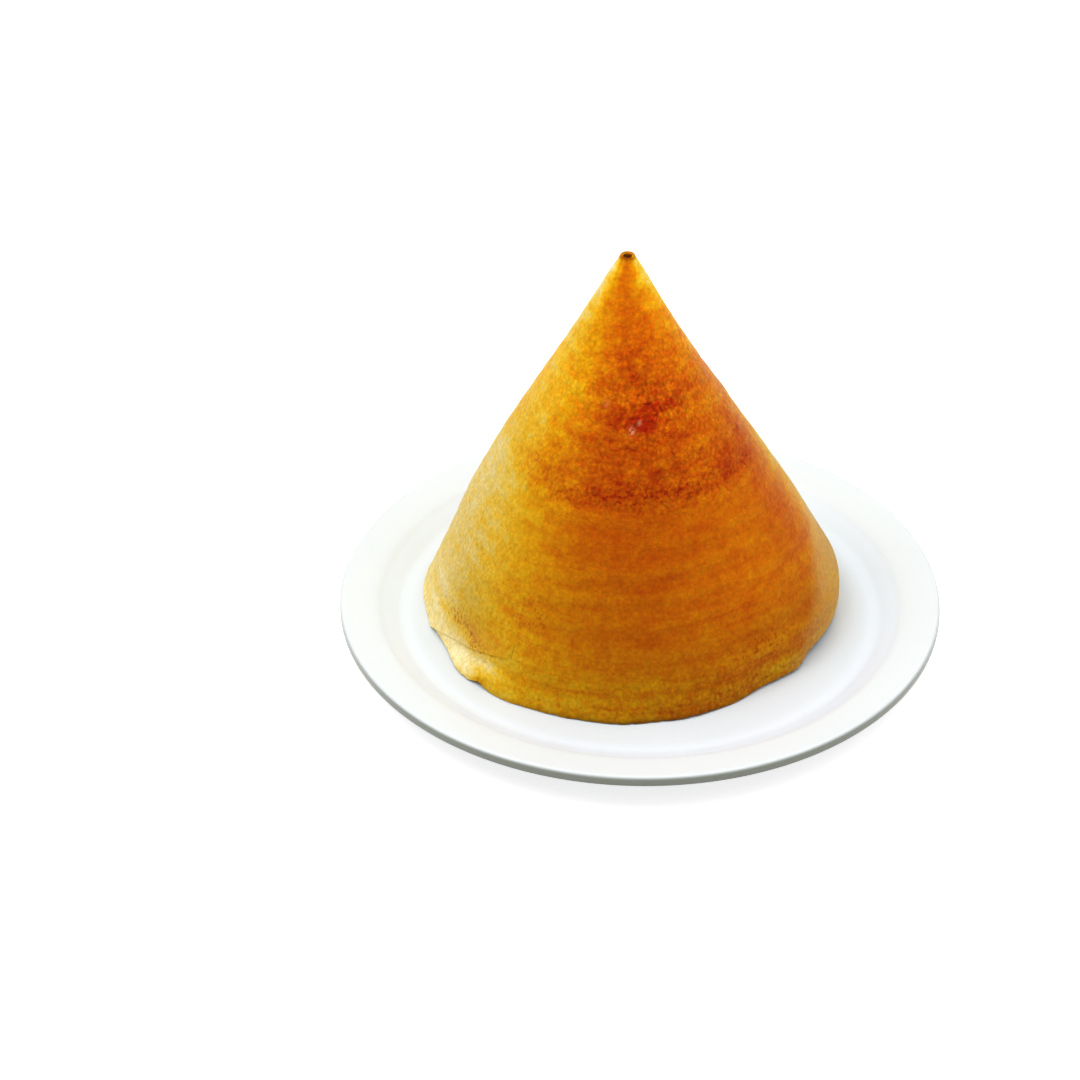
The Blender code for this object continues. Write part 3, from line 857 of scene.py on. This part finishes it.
    # how light it is, with its painted shade
    inputs = {"Value": noises["fleck"], "To Min": -FLECK_CONTRAST, "To Max": FLECK_CONTRAST}
    flecks = add(tree, "ShaderNodeMapRange", inputs).outputs[0]
    flecks = add(tree, "ShaderNodeMath", {0: flecks, 1: coarse, 2: 1.0}, operation="MULTIPLY_ADD").outputs[0]
    raised = add(tree, "ShaderNodeMath", {0: CRUMB_MEAN, 1: crumb}, operation="SUBTRACT").outputs[0]
    raised = add(tree, "ShaderNodeMath", {0: raised, 1: coarse}, operation="MULTIPLY").outputs[0]
    inputs = {0: raised, 1: CRUMB_CONTRAST, 2: CRUMB_LIGHTNESS}
    crumbs = add(tree, "ShaderNodeMath", inputs, operation="MULTIPLY_ADD").outputs[0]
    inputs = {"Value": scorched, "To Min": 1.0, "To Max": SPECK_LIGHTNESS}
    burnt = add(tree, "ShaderNodeMapRange", inputs).outputs[0]
    for darkening in (flecks, crumbs, burnt):
        toast_and_shade = add(tree, "ShaderNodeMath", {0: toast_and_shade, 1: darkening}, operation="MULTIPLY").outputs[0]
    shaded_hue = add(tree, "ShaderNodeVectorMath", {0: hue, 3: toast_and_shade}, operation="SCALE").outputs[0]
    # painted highlight: glints of light on drops of ghee, mixed into the colour
    inputs = {"Value": noises["drop"], "From Min": GLINT_EDGE[0], "From Max": GLINT_EDGE[1]}
    glint_spots = add(tree, "ShaderNodeMapRange", inputs).outputs[0]
    painted_glint = add(tree, "ShaderNodeMath", {0: glint_spots, 1: where_glints}, operation="MULTIPLY").outputs[0]
    inputs = {0: painted_glint, 6: shaded_hue, 7: linear(PAINTED_GLINT_COLOUR)}
    colour = add(tree, "ShaderNodeMix", inputs, data_type="RGBA").outputs[2]
    tree.links.new(colour, shader.inputs["Base Color"])

    # its surface
    inputs = {0: skin, 1: PORE_BUMP, 2: noises["grain"]}
    height = add(tree, "ShaderNodeMath", inputs, operation="MULTIPLY_ADD").outputs[0]
    inputs = {"Height": height, "Strength": BATTER_BUMP_STRENGTH, "Distance": PORE_DEPTH}
    tree.links.new(add(tree, "ShaderNodeBump", inputs).outputs[0], shader.inputs["Normal"])
    inputs = {"Value": noises["blotch"], "To Min": BATTER_ROUGHNESS[0], "To Max": BATTER_ROUGHNESS[1]}
    tree.links.new(add(tree, "ShaderNodeMapRange", inputs).outputs[0], shader.inputs["Roughness"])
    return made


def steamed_rice_batter():
    """The side of the batter that never touched the griddle and set in its own steam. The eye sees a pale,
    matt crumb full of small holes, which turns brown only inside the mouth."""
    made, tree, shader = new_finish("steamed_rice_batter", {"Specular IOR Level": 0.3, "Roughness": 0.7})
    place = in_mm(tree)
    inputs = {"Vector": place, "Scale": 1 / STEAM_HOLE_MM}
    hole = add(tree, "ShaderNodeTexVoronoi", inputs).outputs["Distance"]
    inputs = {"Vector": place, "Scale": 1 / BLOTCH_MM, "Detail": 3.0}
    cloud = add(tree, "ShaderNodeTexNoise", inputs).outputs["Fac"]
    inputs = {0: hole, 1: STEAM_HOLE_PALING, 2: cloud}
    tone = add(tree, "ShaderNodeMath", inputs, operation="MULTIPLY_ADD").outputs[0]
    ramp = add(tree, "ShaderNodeValToRGB", {0: tone})
    set_stops(ramp, [(position, linear(colour)) for position, colour in STEAMED_COLOURS])
    height = add(tree, "ShaderNodeSeparateXYZ", {0: place}).outputs["Z"]
    inputs = {"Value": height, "From Min": MOUTH_RIM_MM[0], "From Max": MOUTH_RIM_MM[1]}
    browned = add(tree, "ShaderNodeMapRange", inputs).outputs[0]
    inputs = {0: browned, 6: ramp.outputs["Color"], 7: linear(MOUTH_RIM_COLOUR)}
    colour = add(tree, "ShaderNodeMix", inputs, data_type="RGBA").outputs[2]
    tree.links.new(colour, shader.inputs["Base Color"])
    inputs = {"Height": hole, "Strength": BATTER_BUMP_STRENGTH, "Distance": STEAM_HOLE_DEPTH}
    tree.links.new(add(tree, "ShaderNodeBump", inputs).outputs[0], shader.inputs["Normal"])
    return made


def glazed_porcelain():
    """Porcelain, jiggered and fired under a clear glaze. The eye sees a cool white with a soft gloss, faintly
    uneven. Painted into its colour are shade, a little darker in the well, a lighter and bluer white over
    the slope against the dosa's warm reflected light, and shade on the rim's outer edge, a darker
    grey-green. The foot ring is bare and rough."""
    inputs = {"IOR": 1.5, "Specular IOR Level": 0.3, "Coat Weight": 0.12, "Coat Roughness": 0.08}
    made, tree, shader = new_finish("glazed_porcelain", inputs)
    place = add(tree, "ShaderNodeTexCoord", {}).outputs["Object"]
    height = add(tree, "ShaderNodeSeparateXYZ", {0: place}).outputs["Z"]
    distance = add(tree, "ShaderNodeVectorMath", {0: place}, operation="LENGTH").outputs["Value"]
    inputs = {"Vector": place, "Scale": 1000 / GLAZE_CLOUD_MM, "Detail": 2.0}
    cloud = add(tree, "ShaderNodeTexNoise", inputs).outputs["Fac"]
    inputs = {"Vector": place, "Scale": 1000 / GLAZE_RIPPLE_MM, "Detail": 1.0}
    ripple = add(tree, "ShaderNodeTexNoise", inputs).outputs["Fac"]

    # painted shade and a painted cool cast: the plate's white darker in the well, lighter and bluer over the
    # slope
    inputs = {"Value": distance, "From Min": PAINTED_TONE_START, "From Max": PAINTED_TONE_END}
    glaze = add(tree, "ShaderNodeValToRGB", {0: add(tree, "ShaderNodeMapRange", inputs).outputs[0]})
    set_stops(glaze, [(position, linear(colour)) for position, colour in WHITES_WITH_PAINTED_LIGHT])
    inputs = {"Value": cloud, "To Min": 1.0 - GLAZE_CLOUDING, "To Max": 1.0 + GLAZE_CLOUDING}
    uneven = add(tree, "ShaderNodeMapRange", inputs).outputs[0]
    white = add(tree, "ShaderNodeVectorMath", {0: glaze.outputs[0], 3: uneven}, operation="SCALE").outputs[0]
    inputs = {"Value": distance, "From Min": EDGE_SHADE_RADII[0], "From Max": EDGE_SHADE_RADII[1]}
    outside = add(tree, "ShaderNodeMapRange", inputs).outputs[0]
    inputs = {"Value": height, "From Min": EDGE_SHADE_HEIGHTS[0], "From Max": EDGE_SHADE_HEIGHTS[1]}
    below = add(tree, "ShaderNodeMapRange", inputs).outputs[0]
    edge = add(tree, "ShaderNodeMath", {0: outside, 1: below}, operation="MULTIPLY").outputs[0]
    # painted shade: the rim's outer edge mixed to a darker grey-green
    inputs = {0: edge, 6: white, 7: linear(PAINTED_EDGE_SHADE)}
    body = add(tree, "ShaderNodeMix", inputs, data_type="RGBA").outputs[2]
    inputs = {"Value": height, "From Min": BARE_CLAY_HEIGHTS[0], "From Max": BARE_CLAY_HEIGHTS[1]}
    bare = add(tree, "ShaderNodeMapRange", inputs).outputs[0]
    inputs = {0: bare, 6: body, 7: linear(BARE_CLAY_COLOUR)}
    clay = add(tree, "ShaderNodeMix", inputs, data_type="RGBA").outputs[2]
    tree.links.new(clay, shader.inputs["Base Color"])

    inputs = {"Value": bare, "To Min": PORCELAIN_ROUGHNESS[0], "To Max": PORCELAIN_ROUGHNESS[1]}
    tree.links.new(add(tree, "ShaderNodeMapRange", inputs).outputs[0], shader.inputs["Roughness"])
    inputs = {"Height": ripple, "Strength": GLAZE_BUMP_STRENGTH, "Distance": GLAZE_RIPPLE_DEPTH}
    tree.links.new(add(tree, "ShaderNodeBump", inputs).outputs[0], shader.inputs["Normal"])
    return made


def opal_acrylic():
    """Cast opal acrylic sheet, lit from below. The eye sees an even, matt white, on which the plate's own
    shadow stays faint."""
    glow = {"Emission Color": linear("#ffffff"), "Emission Strength": FLOOR_GLOW}
    return new_finish("opal_acrylic", {"Base Color": linear("#dcdcdc"), "Roughness": 0.9, **glow})[0]


# ---------------------------------------------------------------- the set
def floor():
    """A plain pale floor, which throws no light up on to the dish."""
    mesh = bpy.data.meshes.new("floor")
    shape = bmesh.new()
    bmesh.ops.create_grid(shape, x_segments=1, y_segments=1, size=FLOOR_SIZE)
    shape.to_mesh(mesh)
    shape.free()
    made = bpy.data.objects.new("floor", mesh)
    made.visible_diffuse = False
    mesh.materials.append(opal_acrylic())
    return made


def softbox(name, azimuth, elevation, size, watts):
    """A square area light, SOFTBOX_DISTANCE from the dish and facing it."""
    target = Vector((0.0, 0.0, CONE_HEIGHT / 3))
    side, rise = math.radians(azimuth), math.radians(elevation)
    towards = Vector((-math.sin(side) * math.cos(rise), -math.cos(side) * math.cos(rise), math.sin(rise)))
    data = bpy.data.lights.new(name, "AREA")
    data.size = size
    data.energy = watts
    lamp = bpy.data.objects.new(name, data)
    lamp.location = target + towards * SOFTBOX_DISTANCE
    lamp.rotation_euler = towards.to_track_quat("Z", "Y").to_euler()
    bpy.context.scene.collection.objects.link(lamp)


def light_the_set():
    """Three softboxes, in a white studio that is darker towards the horizon."""
    for box in SOFTBOXES:
        softbox(*box)
    world = bpy.data.worlds.new("studio")
    bpy.context.scene.world = world
    world.use_nodes = True
    tree = world.node_tree
    direction = add(tree, "ShaderNodeTexCoord", {}).outputs["Generated"]
    height = add(tree, "ShaderNodeSeparateXYZ", {0: direction}).outputs["Z"]
    sky = add(tree, "ShaderNodeValToRGB", {0: height})
    set_stops(sky, [(position, (grey, grey, grey, 1.0)) for position, grey in SKY_GREYS])
    tree.links.new(sky.outputs[0], tree.nodes["Background"].inputs["Color"])


def camera():
    """Looks down on the dish from the front, with a long lens."""
    data = bpy.data.cameras.new("camera")
    data.sensor_width = CAMERA_SENSOR
    data.lens = CAMERA_LENS
    data.clip_start, data.clip_end = CAMERA_REACH
    made = bpy.data.objects.new("camera", data)
    behind, up = math.cos(CAMERA_ELEVATION), math.sin(CAMERA_ELEVATION)
    made.location = (0.0, -CAMERA_DISTANCE * behind, CAMERA_DISTANCE * up)
    made.rotation_euler = CAMERA_AIM.to_track_quat("-Z", "Y").to_euler()
    bpy.context.scene.collection.objects.link(made)
    bpy.context.scene.camera = made


def build():
    """Every piece with its finish, each standing in for its node of the frame, and the set round them."""
    parts = bpy.data.collections.new("cone_dosa_on_plate")
    bpy.context.scene.collection.children.link(parts)
    plate = turned_plate()
    dosa = rolled_sheet()
    for piece, node, slot, coats in (
        (plate, "plate", "glazed_porcelain", (glazed_porcelain(),)),
        (dosa, "dosa", "griddled_rice_batter", (griddled_rice_batter(), steamed_rice_batter())),
    ):
        parts.objects.link(piece)
        for coat in coats:
            piece.data.materials.append(coat)
        piece.data.shade_smooth()
        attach(piece, "root")
        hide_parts(node)
    ground = floor()
    bpy.context.scene.collection.objects.link(ground)
    light_the_set()
    camera()
    bpy.context.scene.view_settings.view_transform = "Standard"


build()
